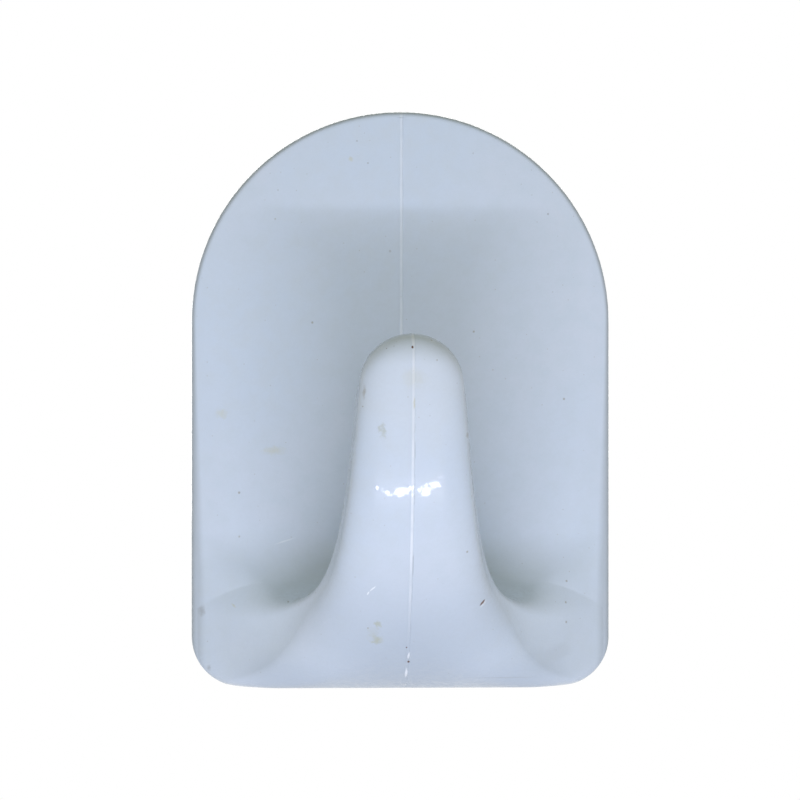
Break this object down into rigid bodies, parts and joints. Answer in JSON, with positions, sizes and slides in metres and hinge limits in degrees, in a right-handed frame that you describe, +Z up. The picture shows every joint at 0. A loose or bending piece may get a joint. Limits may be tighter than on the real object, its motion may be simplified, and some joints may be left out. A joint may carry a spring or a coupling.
{
  "type": "adhesive wall hook",
  "caption": "Arch-topped moulded plastic wall hook whose flared base sweeps forward and up into a round-tipped prong, with a double-sided foam pad on its flat back.",
  "frame": {"origin": "centre of the wall-side adhesive face, the plane of the wall", "axes": "+X to the right seen from the front, +Y into the wall so the front faces -Y, +Z up towards the arch"},
  "size_m": [0.042, 0.0282, 0.0578],
  "materials": {
    "moulded_plastic": "glossy bluish white moulding with a fine parting line, specks and handling marks",
    "adhesive_film": "tacky clear film, faintly yellow",
    "pad_foam": "soft closed-cell foam, off-white"
  },
  "bodies": {
    "root": {"hook_body": "moulded_plastic", "hook_side_adhesive": "adhesive_film", "foam_pad": "pad_foam", "wall_side_adhesive": "adhesive_film"}
  },
  "joints": []
}
